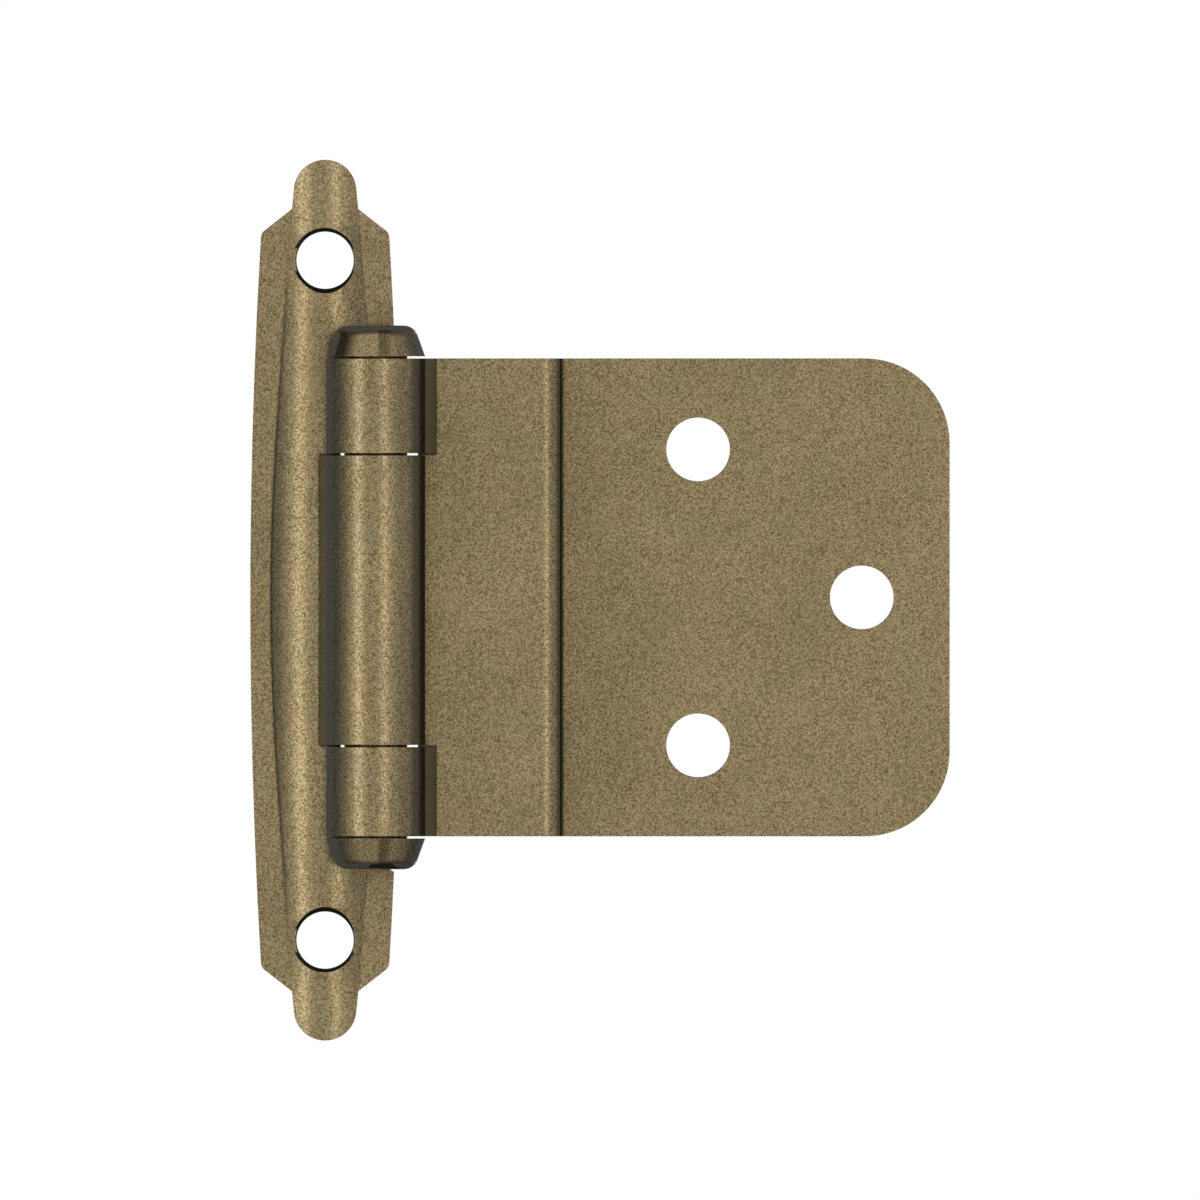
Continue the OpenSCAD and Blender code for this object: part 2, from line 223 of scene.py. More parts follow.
class Bench:
    """Makes the nodes of one material or of the world."""

    def __init__(self, owner: Union[bpy.types.Material, bpy.types.World]) -> None:
        """Start the owner's node tree afresh."""
        owner.use_nodes = True
        self.tree = owner.node_tree
        self.tree.nodes.clear()

    def node(
        self,
        kind: str,
        settings: dict[str, object],
        sockets: dict[Union[int, str], Value],
        result: Union[int, str] = 0,
    ) -> Wire:
        """Add any node.

        Args:
            kind: The node's type.
            settings: Its properties, which are set first.
            sockets: Values or wires for its inputs, by name or number.
            result: The output that is wanted, by name or number.

        Returns:
            That output.
        """
        node = self.tree.nodes.new(kind)
        for name, setting in settings.items():
            setattr(node, name, setting)
        for name, value in sockets.items():
            if isinstance(value, Wire):
                self.tree.links.new(value.socket, node.inputs[name])
            else:
                node.inputs[name].default_value = value
        return Wire(self, node.outputs[result])

    def mix(self, share: Value, first: Value, second: Value) -> Wire:
        """Blend two colours.

        Args:
            share: Share of the second colour, from 0 to 1.
            first: The first colour.
            second: The second colour.

        Returns:
            The blend.
        """
        factor, colour_a, colour_b, blend = 0, 6, 7, 2
        return self.node(
            "ShaderNodeMix",
            {"data_type": "RGBA"},
            {factor: share, colour_a: first, colour_b: second},
            blend,
        )

    def place(self) -> Wire:
        """Give the point's own place on the piece, which turns with the piece."""
        return self.node("ShaderNodeTexCoord", {}, {}, "Object")

    def facing(self) -> Wire:
        """Give the surface's own direction on the piece, which turns with the piece."""
        return self.node("ShaderNodeTexCoord", {}, {}, "Normal")

    def noise(self, place: Value, grain: float, detail: float, seed: float) -> Wire:
        """Add a soft noise with a mean of one half.

        Args:
            place: Where on the piece it is read.
            grain: Size of its cells.
            detail: Number of finer layers on top.
            seed: Which of its many patterns is used.

        Returns:
            The noise, from 0 to 1.
        """
        return self.node(
            "ShaderNodeTexNoise",
            {"noise_dimensions": "4D"},
            {"Vector": place, "Scale": 1 / grain, "Detail": detail, "W": seed},
        )

    def crease(self, reach: float) -> Wire:
        """Find the places that neighbouring surfaces shelter.

        Args:
            reach: How near those surfaces are.

        Returns:
            The sheltered share of the sky, from 0 to 1.
        """
        open_share = self.node(
            "ShaderNodeAmbientOcclusion", {"samples": SHELTER_SAMPLES}, {"Distance": reach}, "AO"
        )
        return 1 - open_share

    def worn_edge(self, radius: float) -> tuple[Wire, Wire]:
        """Round the piece's sharp edges in the shading.

        Args:
            radius: Radius of the rounding.

        Returns:
            The rounded normal, and how far it departs from the true one.
        """
        rounded = self.node("ShaderNodeBevel", {"samples": BEVEL_SAMPLES}, {"Radius": radius})
        true = self.node("ShaderNodeNewGeometry", {}, {}, "Normal")
        same = self.node(
            "ShaderNodeVectorMath", {"operation": "DOT_PRODUCT"}, {0: rounded, 1: true}, "Value"
        )
        return rounded, 1 - same

    def bump(self, height: Wire, depth: float, normal: Wire) -> Wire:
        """Raise a pattern on the surface in the shading.

        Args:
            height: The pattern, from 0 to 1.
            depth: How high it stands.
            normal: The normal that it starts from.

        Returns:
            The bumped normal.
        """
        return self.node(
            "ShaderNodeBump",
            {},
            {"Height": height, "Distance": depth, "Strength": 1.0, "Normal": normal},
        )

    def finish(self, shader: Wire, output: str = "ShaderNodeOutputMaterial") -> None:
        """Send the shader to a new output node."""
        node = self.tree.nodes.new(output)
        self.tree.links.new(shader.socket, node.inputs["Surface"])


class Pattern(Enum):
    """The noises of a finish: each one's offset from the finish's seed, and its finer layers."""

    SPECKS = (0, 0)
    LINES = (0, 3)
    STAIN = (3, 2)
    CLOUD = (7, 3)
    FLECKS = (13, 0)
    FRAY = (17, 2)
    DRIFT = (29, 2)


class Cover(Enum):
    """Matte covers laid over the brass by their colour: painted shade and painted reflections of a
    darker studio.
    """

    # Painted black shade in recesses, and painted dark reflections on the caps
    PAINTED_SHADE = linear(22, 22, 17)
    # Painted dim olive reflection on the knuckles' steep legs
    PAINTED_DIM_REFLECTION = linear(80, 74, 54)
    # Painted grey reflection on the knuckles' and caps' grazing sides
    PAINTED_GREY_REFLECTION = linear(68, 67, 64)


Covers = tuple[tuple[Wire, Cover], ...]


@dataclass(frozen=True)
class Spot:
    """A point on a piece as a finish sees it, in terms that turn with the piece.

    Attributes:
        x: Its place from left to right.
        y: Its place from front to back.
        z: Its place from the middle upward.
        facing_x: How far the surface faces right, from -1 to 1.
        facing_y: How far the surface faces back, from -1 to 1.
        facing_z: How far the surface faces up, from -1 to 1.
        fray: A noise round zero that makes the covers' borders uneven.
    """

    x: Wire
    y: Wire
    z: Wire
    facing_x: Wire
    facing_y: Wire
    facing_z: Wire
    fray: Wire


@dataclass(frozen=True)
class PaintedShade:
    """Where a piece gets its painted shade and painted reflections, laid on as matte covers.

    Every span and band is a range of places in metres or of facings from -1 to 1, and every
    share is how much of the metal a cover hides.

    Attributes:
        front: Facings that count as the piece's front.
    """

    front: Span = (0.0, -0.08)

    def covers(self, spot: Spot) -> Covers:
        """Mark the covered places.

        Args:
            spot: The point on the piece.

        Returns:
            For each cover, the share of the metal that it hides, and its kind. Later covers
            lie over earlier ones.
        """
        raise NotImplementedError


@dataclass(frozen=True)
class KnucklePaintedShade(PaintedShade):
    """Painted shading of a rolled knuckle: a painted grey reflection down its left side, and a
    painted grey reflection and painted black shade down its right side.

    Attributes:
        fray_depth: How uneven the borders between front and back are.
        behind: Facings over which the right side's covers fade out behind the knuckle.
        barrel: Places across the hinge that belong to the knuckle's right side.
        left_height: Facings, from front to back, that the painted grey reflection on the left
            spans.
        left_facing: Facings to the left from which it starts.
        left_side: Places across the hinge that it spans.
        left_share: Strength of the painted grey reflection on the left.
        shade_facing: Facings to the right from which the thin painted grey reflection starts.
        shade_share: Its strength.
        flank_facing: Facings to the right from which the painted black shade starts.
        flank_share: Its strength.
    """

    fray_depth: float = 0.2
    behind: Span = (0.3, -0.1)
    barrel: Span = (7.99 * MM, 7.95 * MM)
    left_height: Band = (-0.52, -0.34, -0.1, 0.5)
    left_facing: Span = (0.5, 0.6)
    left_side: Band = (-0.9 * MM, -0.1 * MM, 1.1 * MM, 1.3 * MM)
    left_share: float = 0.92
    shade_facing: Span = (0.74, 0.84)
    shade_share: float = 0.5
    flank_facing: Span = (0.86, 0.93)
    flank_share: float = 0.95

    def knuckle_covers(self, spot: Spot) -> Covers:
        """Mark the knuckle's own covered places.

        Args:
            spot: The point on the piece.

        Returns:
            The covers, as covers() gives them.
        """
        height = spot.facing_y + self.fray_depth * spot.fray
        left = height.band(self.left_height) * (-spot.facing_x).ramp(self.left_facing)
        right = height.ramp(self.behind) * spot.x.ramp(self.barrel)
        # Painted grey reflection down the left side; painted grey reflection and painted black
        # shade down the right flank beside the wing
        return (
            (self.left_share * left * spot.x.band(self.left_side), Cover.PAINTED_GREY_REFLECTION),
            (self.shade_share * spot.facing_x.ramp(self.shade_facing) * right, Cover.PAINTED_GREY_REFLECTION),
            (self.flank_share * spot.facing_x.ramp(self.flank_facing) * right, Cover.PAINTED_SHADE),
        )


@dataclass(frozen=True)
class WingPaintedShade(KnucklePaintedShade):
    """Painted shading of the door wing: painted black shade down the step's riser and a painted
    dim reflection on the knuckles' legs.

    Attributes:
        step: Places across the hinge where the step lies.
        leg: Places across the hinge where the legs lie.
        leg_share: Strength of the painted dim reflection on the legs.
    """

    step: Band = (15 * MM, 16 * MM, 19 * MM, 20 * MM)
    leg: Band = (7.95 * MM, 7.99 * MM, 9.0 * MM, 9.2 * MM)
    leg_share: float = 0.88

    def covers(self, spot: Spot) -> Covers:
        """Mark the door wing's covered places.

        Args:
            spot: The point on the piece.

        Returns:
            The covers, in the order in which they lie.
        """
        # Painted black shade down the step's riser, and painted dim reflection on the legs
        flank = spot.facing_x.ramp(self.flank_facing)
        riser = flank * spot.x.band(self.step) * spot.facing_y.ramp(self.front)
        return (
            *self.knuckle_covers(spot),
            (riser, Cover.PAINTED_SHADE),
            (self.leg_share * flank * spot.x.band(self.leg), Cover.PAINTED_DIM_REFLECTION),
        )


@dataclass(frozen=True)
class PlatePaintedShade(KnucklePaintedShade):
    """Painted shading of the frame plate: painted black shade round its screw holes and at the
    rib's foot.

    Attributes:
        strip_facing: Facings to the left of the wall that carries the knuckle.
        strip: Places across the hinge where its painted dim reflection lies.
        strip_share: Strength of that painted dim reflection.
        foot: Places from front to back of the crease at the rib's foot.
        foot_facing: Facings to the left from which its painted shade starts.
        foot_share: Strength of that painted shade.
        mouth_height: Height of the holes' mouths above and below the middle.
        mouth_reach: Distances from the mouths' middles at which their painted shade starts.
        mouth_facing: Facings of the mouths' walls.
        hole_height: Height of the holes above and below the middle.
        crescent_shift: How far left of the holes the painted shade on their rims lies.
        crescent_reach: Distances from the rims' middles at which that painted shade starts.
        crescent_facing: Facings of the rims.
        crescent_share: Strength of that painted shade.
        open_sides: Heights beside a hole's middle at which all its painted shade starts.
    """

    barrel: Span = (6.5 * MM, 7.0 * MM)
    left_side: Band = (0.05 * MM, 0.1 * MM, 1.1 * MM, 1.3 * MM)
    strip_facing: Span = (0.93, 0.97)
    strip: Band = (-0.9 * MM, -0.1 * MM, 0.05 * MM, 0.1 * MM)
    strip_share: float = 0.9
    foot: Band = (-1.62 * MM, -1.42 * MM, -1.36 * MM, -1.34 * MM)
    foot_facing: Span = (0.5, 0.58)
    foot_share: float = 0.5
    mouth_height: float = 26.96 * MM
    mouth_reach: Span = (2.75 * MM, 2.7 * MM)
    mouth_facing: Span = (-0.75, -0.6)
    hole_height: float = 27.0 * MM
    crescent_shift: float = 0.06 * MM
    crescent_reach: Span = (2.54 * MM, 2.50 * MM)
    crescent_facing: Span = (-0.3, -0.4)
    crescent_share: float = 0.95
    open_sides: Span = (0.75 * MM, 1.0 * MM)

    def covers(self, spot: Spot) -> Covers:
        """Mark the frame plate's covered places.

        Args:
            spot: The point on the piece.

        Returns:
            The covers, in the order in which they lie.
        """
        leftward = -spot.facing_x
        wall = leftward.ramp(self.strip_facing) * spot.x.band(self.strip)
        foot = leftward.ramp(self.foot_facing) * spot.y.band(self.foot)
        # Painted dim reflection on the knuckle's wall, and painted shade at the rib's foot and
        # round the holes
        return (
            *self.knuckle_covers(spot),
            (self.strip_share * wall, Cover.PAINTED_DIM_REFLECTION),
            (self.foot_share * foot, Cover.PAINTED_SHADE),
            (self.hole_shade(spot), Cover.PAINTED_SHADE),
        )

    def hole_shade(self, spot: Spot) -> Wire:
        """Mark the painted shade above and below each screw hole, where its wall lies in shadow.

        Args:
            spot: The point on the piece.

        Returns:
            The share of the metal that it hides.
        """
        from_mouth = spot.x.distance(abs(spot.z) - self.mouth_height)
        mouth = from_mouth.ramp(self.mouth_reach) * spot.facing_y.ramp(self.mouth_facing)
        from_middle = abs(spot.z) - self.hole_height
        from_rim = (spot.x + self.crescent_shift).distance(from_middle)
        rim = from_rim.ramp(self.crescent_reach) * spot.facing_y.ramp(self.crescent_facing)
        return abs(from_middle).ramp(self.open_sides) * mouth.either(self.crescent_share * rim)


@dataclass(frozen=True)
class CapPaintedShade(PaintedShade):
    """Painted shading of a cap: painted grey reflection on its rounded corner and sides, and
    painted dark reflections on its front.

    Attributes:
        rise_fray: How uneven the borders up the cap are.
        across_fray: How uneven the borders across the cap are.
        corner: Slopes of the rounded corner.
        left: Facings to the left from which the painted grey reflection starts.
        right: Facings to the right from which the painted grey reflection starts.
        grey_reflection_share: Strength of the painted grey reflection.
        upper: Places up the hinge that belong to the top cap.
        dark_line: Facings to the left of the top cap's painted dark line.
        reflection_streak: Facings to the right of the painted dark streak on both caps.
        mark_share: Strength of the line and the streak.
        lens: Facings to the right of the painted black reflection on the bottom cap.
        lens_rise: Slopes of that mark.
        lens_share: Its strength.
    """

    rise_fray: float = 0.1
    across_fray: float = 0.06
    corner: Band = (0.5, 0.68, 0.93, 0.98)
    left: Span = (0.66, 0.82)
    right: Span = (0.84, 0.92)
    grey_reflection_share: float = 0.85
    upper: Span = (-1 * MM, 1 * MM)
    dark_line: Band = (0.58, 0.64, 0.72, 0.80)
    reflection_streak: Band = (0.02, 0.10, 0.18, 0.38)
    mark_share: float = 0.6
    lens: Band = (-0.12, 0.04, 0.20, 0.34)
    lens_rise: Band = (0.60, 0.72, 0.84, 0.94)
    lens_share: float = 0.9

    def covers(self, spot: Spot) -> Covers:
        """Mark a cap's covered places.

        Args:
            spot: The point on the piece.

        Returns:
            The covers, in the order in which they lie.
        """
        rise = abs(spot.facing_z) + self.rise_fray * spot.fray
        across = spot.facing_x + self.across_fray * spot.fray
        front = spot.facing_y.ramp(self.front)
        top = spot.z.ramp(self.upper)
        corner = rise.band(self.corner)
        sides = (-across).ramp(self.left).either(across.ramp(self.right))
        lines = (top * (-across).band(self.dark_line)).either(across.band(self.reflection_streak))
        lens = across.band(self.lens) * rise.band(self.lens_rise)
        # Painted grey reflection on the corner and sides, and painted dark reflections on the
        # front
        return (
            (self.grey_reflection_share * corner.either(sides), Cover.PAINTED_GREY_REFLECTION),
            (self.mark_share * lines * (1 - corner) * front, Cover.PAINTED_SHADE),
            (self.lens_share * (1 - top) * lens * front, Cover.PAINTED_SHADE),
        )


@dataclass(frozen=True)
class Finish:
    """A procedural finish.

    Attributes:
        name: Name of the material.
        seed: Which patterns of noise it uses.
    """

    name: str
    seed: float = 1.0

    def noise(self, bench: Bench, place: Wire, pattern: Pattern, size: float) -> Wire:
        """Add one of the finish's noises.

        Args:
            bench: Bench of the material.
            place: Where on the piece it is read.
            pattern: Which noise it is.
            size: Size of its cells.

        Returns:
            The noise, from 0 to 1.
        """
        offset, detail = pattern.value
        return bench.noise(place, size, detail, self.seed + offset)

    def material(self) -> bpy.types.Material:
        """Build the finish.

        Returns:
            The new material.
        """
        raise NotImplementedError


@dataclass(frozen=True)
class Fleck:
    """A colour that shows in patches among the specks.

    Attributes:
        colour: The colour.
        share: How strong it is, from 0 to 1.
        pattern: The noise that places it.
        size: Size of that noise's cells.
        span: Values of the noise at which the colour starts and is full.
    """

    colour: Colour
    share: float
    pattern: Pattern
    size: float
    span: Span


@dataclass(frozen=True)
class AgedBrass(Finish):
    """Antique brass: a mottled, browned plating on steel, with matte covers of painted shade and
    painted reflection on its recesses and sides.

    Attributes:
        painted_shade: Where the piece gets its painted shade and painted reflections, if anywhere.
        tone: Brightness of the whole finish.
        dark: Colour of the darker specks.
        light: Colour of the lighter specks.
        grain: Size of the specks.
        speck_span: Values of the specks' noise that give the two colours.
        flecks: The reddish, greenish, greyish and warmer patches.
        cloud: Size of the large cloudy patches.
        cloud_depth: How far they vary the brightness.
        metallic: How far the surface is bare metal.
        gloss: Strength of the reflection where it isn't metal.
        roughness: Mean roughness.
        speck_roughness: How far the specks vary the roughness.
        cloud_roughness: How far the cloudy patches vary it.
        bump: Height of the specks.
        edge: Radius of the worn edges.
        edge_span: Turns of the edge's normal at which the lighter edge starts and is full.
        edge_wear_and_highlight: How much lighter the edges are, as worn plating with a painted
            edge highlight.
        tip_highlight_span: Heights above and below the middle at which the tips' painted highlight
            starts.
        tip_highlight: How much lighter those tips are painted, as a painted highlight.
        crease_reach: How near a surface has to be to shelter another.
        crease_span: Sheltered shares at which the painted shade starts and is full.
        painted_crease_shade: How much darker sheltered places are painted, as painted shade in
            creases.
        fray: Size of the noise that makes the covers' borders uneven.
        cover_onset: Shares of a cover over which its own colour takes over.
        cover_tone: Brightness of a cover at the darkest specks.
        cover_specks: How far the specks lighten a cover.
        cover_roughness: Roughness of the covers.
        cover_gloss: Strength of the reflection on the covers.
    """

    painted_shade: Optional[PaintedShade] = None
    tone: float = 1.0
    dark: Colour = linear(80, 65, 27)
    light: Colour = linear(161, 145, 113)
    grain: float = 0.12 * MM
    speck_span: Span = (0.1, 0.9)
    flecks: tuple[Fleck, ...] = (
        Fleck(linear(140, 98, 66), 0.16, Pattern.FLECKS, 0.24 * MM, (0.60, 0.75)),
        Fleck(linear(118, 122, 78), 0.20, Pattern.FLECKS, 0.24 * MM, (0.40, 0.25)),
        Fleck(linear(106, 103, 80), 0.16, Pattern.DRIFT, 4 * MM, (0.48, 0.70)),
        Fleck(linear(150, 128, 92), 0.16, Pattern.DRIFT, 4 * MM, (0.48, 0.26)),
    )
    cloud: float = 9 * MM
    cloud_depth: float = 0.45
    metallic: float = 0.92
    gloss: float = 0.3
    roughness: float = 0.30
    speck_roughness: float = 0.15
    cloud_roughness: float = 0.075
    bump: float = 0.003 * MM
    edge: float = 0.10 * MM
    edge_span: Span = (0.02, 0.4)
    edge_wear_and_highlight: float = 0.6
    tip_highlight_span: Span = (29 * MM, 31 * MM)
    tip_highlight: float = 0.0
    crease_reach: float = 0.2 * MM
    crease_span: Span = (0.0, 0.16)
    painted_crease_shade: float = 0.75
    fray: float = 0.5 * MM
    cover_onset: Span = (0.0, 0.05)
    cover_tone: float = 0.6
    cover_specks: float = 0.8
    cover_roughness: float = 0.75
    cover_gloss: float = 0.05

    def material(self) -> bpy.types.Material:
        """Build the finish.

        Returns:
            The new material.
        """
        made = bpy.data.materials.new(self.name)
        bench = Bench(made)
        place = bench.place()
        specks = self.noise(bench, place, Pattern.SPECKS, self.grain)
        shader = self.metal(bench, place, specks)
        if self.painted_shade is not None:
            shader = self.covered(bench, place, specks, self.painted_shade, shader)
        bench.finish(shader)
        return made

    def colour(self, bench: Bench, place: Wire, specks: Wire) -> Wire:
        """Mix the specks' two colours and the patches among them.

        Args:
            bench: Bench of the material.
            place: The point's own place on the piece.
            specks: The specks' noise.

        Returns:
            The brass's colour.
        """
        brass = bench.mix(specks.ramp(self.speck_span), (*self.dark, 1), (*self.light, 1))
        for fleck in self.flecks:
            patches = self.noise(bench, place, fleck.pattern, fleck.size)
            brass = bench.mix(fleck.share * patches.ramp(fleck.span), brass, (*fleck.colour, 1))
        return brass

    def metal(self, bench: Bench, place: Wire, specks: Wire) -> Wire:
        """Shade the bare brass.

        Args:
            bench: Bench of the material.
            place: The point's own place on the piece.
            specks: The specks' noise.

        Returns:
            The shader.
        """
        _, _, z = place.parts()
        cloud = self.noise(bench, place, Pattern.CLOUD, self.cloud)
        rounded, edge_turn = bench.worn_edge(self.edge)
        sheltered = bench.crease(self.crease_reach)
        shade = (
            self.tone
            + self.cloud_depth * (cloud - NOISE_MEAN)
            # Lighter edges: worn plating with a painted edge highlight
            + self.edge_wear_and_highlight * edge_turn.ramp(self.edge_span)
            # Painted highlight on the plate's tips
            + self.tip_highlight * abs(z).ramp(self.tip_highlight_span)
            # Painted shade in creases and corners
            - self.painted_crease_shade * sheltered.ramp(self.crease_span)
        )
        roughness = (
            self.roughness
            + self.speck_roughness * (NOISE_MEAN - specks)
            + self.cloud_roughness * (NOISE_MEAN - cloud)
        )
        return bench.node(
            "ShaderNodeBsdfPrincipled",
            {},
            {
                "Base Color": self.colour(bench, place, specks).tint(shade),
                "Metallic": self.metallic,
                "Roughness": roughness,
                "Normal": bench.bump(specks, self.bump, rounded),
                "Specular IOR Level": self.gloss,
            },
        )

    def covered(
        self, bench: Bench, place: Wire, specks: Wire, painted_shade: PaintedShade, metal: Wire
    ) -> Wire:
        """Lay the matte covers of painted shade and painted reflection over the metal.

        Args:
            bench: Bench of the material.
            place: The point's own place on the piece.
            specks: The specks' noise.
            painted_shade: Where the covers lie.
            metal: The metal's shader.

        Returns:
            The shader of the metal with its covers.
        """
        fray = self.noise(bench, place, Pattern.FRAY, self.fray) - NOISE_MEAN
        spot = Spot(*place.parts(), *bench.facing().parts(), fray)
        hidden: Value = 0.0
        colour: Value = (*Cover.PAINTED_SHADE.value, 1)
        # Each cover lays painted shade or a painted reflection over the metal
        for share, cover in painted_shade.covers(spot):
            colour = bench.mix(share.ramp(self.cover_onset), colour, (*cover.value, 1))
            hidden = share.either(hidden)
        dull = bench.node(
            "ShaderNodeBsdfPrincipled",
            {},
            {
                "Base Color": colour.tint(self.cover_tone + self.cover_specks * specks),
                "Roughness": self.cover_roughness,
                "Specular IOR Level": self.cover_gloss,
            },
        )
        return bench.node("ShaderNodeMixShader", {}, {0: hidden, 1: metal, 2: dull})


@dataclass(frozen=True)
class RolledSteel(Finish):
    """Bright spring steel with the fine lines of the rolling mill.

    Attributes:
        base: Colour of the steel.
        line: Width of the rolling lines.
        line_scale: How the lines' noise is squeezed along X, Y and Z, which draws it out.
        line_depth: How far the lines vary the brightness.
        stain: Size of the faint stains.
        stain_colour: Colour of the stains.
        stain_span: Values of the stains' noise at which their colour starts and is full.
        stain_depth: How far the stains vary the brightness.
        edge: Radius of the worn edges.
        edge_wear_and_highlight: How much lighter the edges are, as worn steel with a painted edge
            highlight.
        bump: Height of the lines.
        roughness: Mean roughness.
        line_roughness: How far the lines vary the roughness.
    """

    seed: float = 5.0
    base: Colour = linear(176, 178, 182)
    line: float = 0.08 * MM
    line_scale: Point = (1.0, 1.0, 0.04)
    line_depth: float = 0.5
    stain: float = 4 * MM
    stain_colour: Colour = linear(150, 146, 136)
    stain_span: Span = (0.55, 0.75)
    stain_depth: float = 0.3
    edge: float = 0.05 * MM
    edge_wear_and_highlight: float = 0.3
    bump: float = 0.002 * MM
    roughness: float = 0.28
    line_roughness: float = 0.2

    def material(self) -> bpy.types.Material:
        """Build the finish.

        Returns:
            The new material.
        """
        made = bpy.data.materials.new(self.name)
        bench = Bench(made)
        place = bench.place()
        drawn = bench.node("ShaderNodeMapping", {}, {"Vector": place, "Scale": self.line_scale})
        lines = self.noise(bench, drawn, Pattern.LINES, self.line)
        stain = self.noise(bench, place, Pattern.STAIN, self.stain)
        rounded, edge_turn = bench.worn_edge(self.edge)
        shade = (
            1.0
            + self.line_depth * (lines - NOISE_MEAN)
            + self.stain_depth * (stain - NOISE_MEAN)
            # Lighter edges: worn steel with a painted edge highlight
            + self.edge_wear_and_highlight * edge_turn
        )
        steel = bench.mix(
            stain.ramp(self.stain_span), (*self.base, 1), (*self.stain_colour, 1)
        )
        shader = bench.node(
            "ShaderNodeBsdfPrincipled",
            {},
            {
                "Base Color": steel.tint(shade),
                "Metallic": 1.0,
                "Roughness": self.roughness + self.line_roughness * (lines - NOISE_MEAN),
                "Normal": bench.bump(lines, self.bump, rounded),
            },
        )
        bench.finish(shader)
        return made


class Side(Enum):
    """The hinge's two bodies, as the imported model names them."""

    FRAME = "frame_side"
    DOOR = "door_side"


def report(name: str, node: str, side: Side, finish: Finish) -> None:
    """Log a dressed piece.

    Args:
        name: Name of the piece.
        node: The solid that has its size.
        side: The body that it turns with.
        finish: Its finish.
    """
    low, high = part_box(node)
    size = [round((b - a) / MM, 2) for a, b in zip(low, high)]
    LOG.info("%s on %s in %s, %s mm", name, side.value, finish.name, size)


@dataclass(frozen=True)
class Solid:
    """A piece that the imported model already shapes.

    Attributes:
        node: Name of its solid.
        finish: Its finish.
    """

    node: str
    finish: Finish

    def dress(self, side: Side) -> None:
        """Put the finish on the solid.

        Args:
            side: The body that it turns with.
        """
        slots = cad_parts[self.node].data.materials
        slots.clear()
        slots.append(self.finish.material())
        report(self.node, self.node, side, self.finish)


@dataclass(frozen=True)
class ClosingSpring:
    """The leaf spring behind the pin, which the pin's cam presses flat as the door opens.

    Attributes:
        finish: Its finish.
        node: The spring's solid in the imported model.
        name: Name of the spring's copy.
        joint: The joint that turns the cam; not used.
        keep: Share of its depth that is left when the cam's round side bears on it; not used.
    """

    finish: Finish
    node: str = "snap_spring"
    name: str = "snap_spring_leaf"
    joint: str = "door_swing"
    keep: float = 0.39

    def build(self, side: Side) -> None:
        """Lay a copy of the spring where the solid one lies, against the knuckle's wall, and hide
        the solid.

        Args:
            side: The body that carries it.
        """
        spring = bpy.data.objects.new(self.name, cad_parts[self.node].data.copy())
        bpy.context.collection.objects.link(spring)
        spring.data.materials.clear()
        spring.data.materials.append(self.finish.material())
        _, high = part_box(self.node)
        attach(spring, side.value)
        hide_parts(self.node)
        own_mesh(spring)
        report(self.name, self.node, side, self.finish)


@dataclass(frozen=True)
class FrameSide:
    """The side that is screwed to the cabinet: the pressed plate and the spring in its knuckle.

    Attributes:
        plate: The frame plate, whose tips get a painted highlight.
        spring: The closing spring.
    """

    plate: Solid = Solid(
        "frame_plate",
        # The plate's tips are painted lighter, as a painted highlight
        AgedBrass("frame_plate_brass", seed=1.0, painted_shade=PlatePaintedShade(), tip_highlight=0.1),
    )
    spring: ClosingSpring = ClosingSpring(RolledSteel("spring_steel_finish"))

    def build(self) -> None:
        """Dress the plate and lay the spring."""
        self.plate.dress(Side.FRAME)
        self.spring.build(Side.FRAME)


@dataclass(frozen=True)
class DoorSide:
    """The side that turns with the door: the pressed wing, the pin and the pin's two caps.

    Attributes:
        solids: Its pieces.
    """

    solids: tuple[Solid, ...] = (
        Solid("door_wing", AgedBrass("door_wing_brass", seed=2.0, painted_shade=WingPaintedShade())),
        # The top cap is painted lighter (tone 1.2) and the bottom cap darker (tone 0.8): painted
        # light and shade for how the lamps and floor light them
        Solid("top_cap", AgedBrass("top_cap_brass", seed=3.0, painted_shade=CapPaintedShade(), tone=1.2)),
        Solid("bottom_cap", AgedBrass("bottom_cap_brass", seed=6.0, painted_shade=CapPaintedShade(), tone=0.8)),
        Solid("hinge_pin", AgedBrass("pin_brass_finish", seed=4.0)),
    )

    def build(self) -> None:
        """Dress every piece."""
        for solid in self.solids:
            solid.dress(Side.DOOR)


@dataclass(frozen=True)
class Lamp:
    """A soft box that faces the hinge.

    Attributes:
        name: Name of the lamp.
        azimuth: Its bearing from straight ahead, to the right, in degrees.
        width: Width of its face.
        height: Height of its face.
        radiance: Brightness of its face, where 1 is white.
        distance: How far from the hinge it stands.
    """

    name: str
    azimuth: float
    width: float
    height: float
    radiance: float
    distance: float = 0.6

    def build(self, target: Vector) -> None:
        """Set up the lamp.

        Args:
            target: The point that it faces.
        """
        turn = math.radians(self.azimuth)
        away = Vector((math.sin(turn), -math.cos(turn), 0))
        data = bpy.data.lights.new(self.name, "AREA")
        data.shape = "RECTANGLE"
        data.size, data.size_y = self.width, self.height
        data.energy = self.radiance * math.pi * self.width * self.height
        lamp = bpy.data.objects.new(self.name, data)
        lamp.location = target + away * self.distance
        lamp.rotation_euler = away.to_track_quat("Z", "Y").to_euler()
        bpy.context.collection.objects.link(lamp)
        LOG.info("%s at %s degrees", self.name, self.azimuth)


def flat_sheet(name: str, corners: tuple[Point, ...]) -> bpy.types.Object:
    """Make one flat face of the studio, which isn't part of the hinge.

    Args:
        name: Name of the face.
        corners: Its four corners, in order.

    Returns:
        The new object, without a material.
    """
    mesh = bpy.data.meshes.new(name)
    mesh.from_pydata(corners, [], [(0, 1, 2, 3)])
    sheet = bpy.data.objects.new(name, mesh)
    sheet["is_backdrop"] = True
    bpy.context.collection.objects.link(sheet)
    return sheet


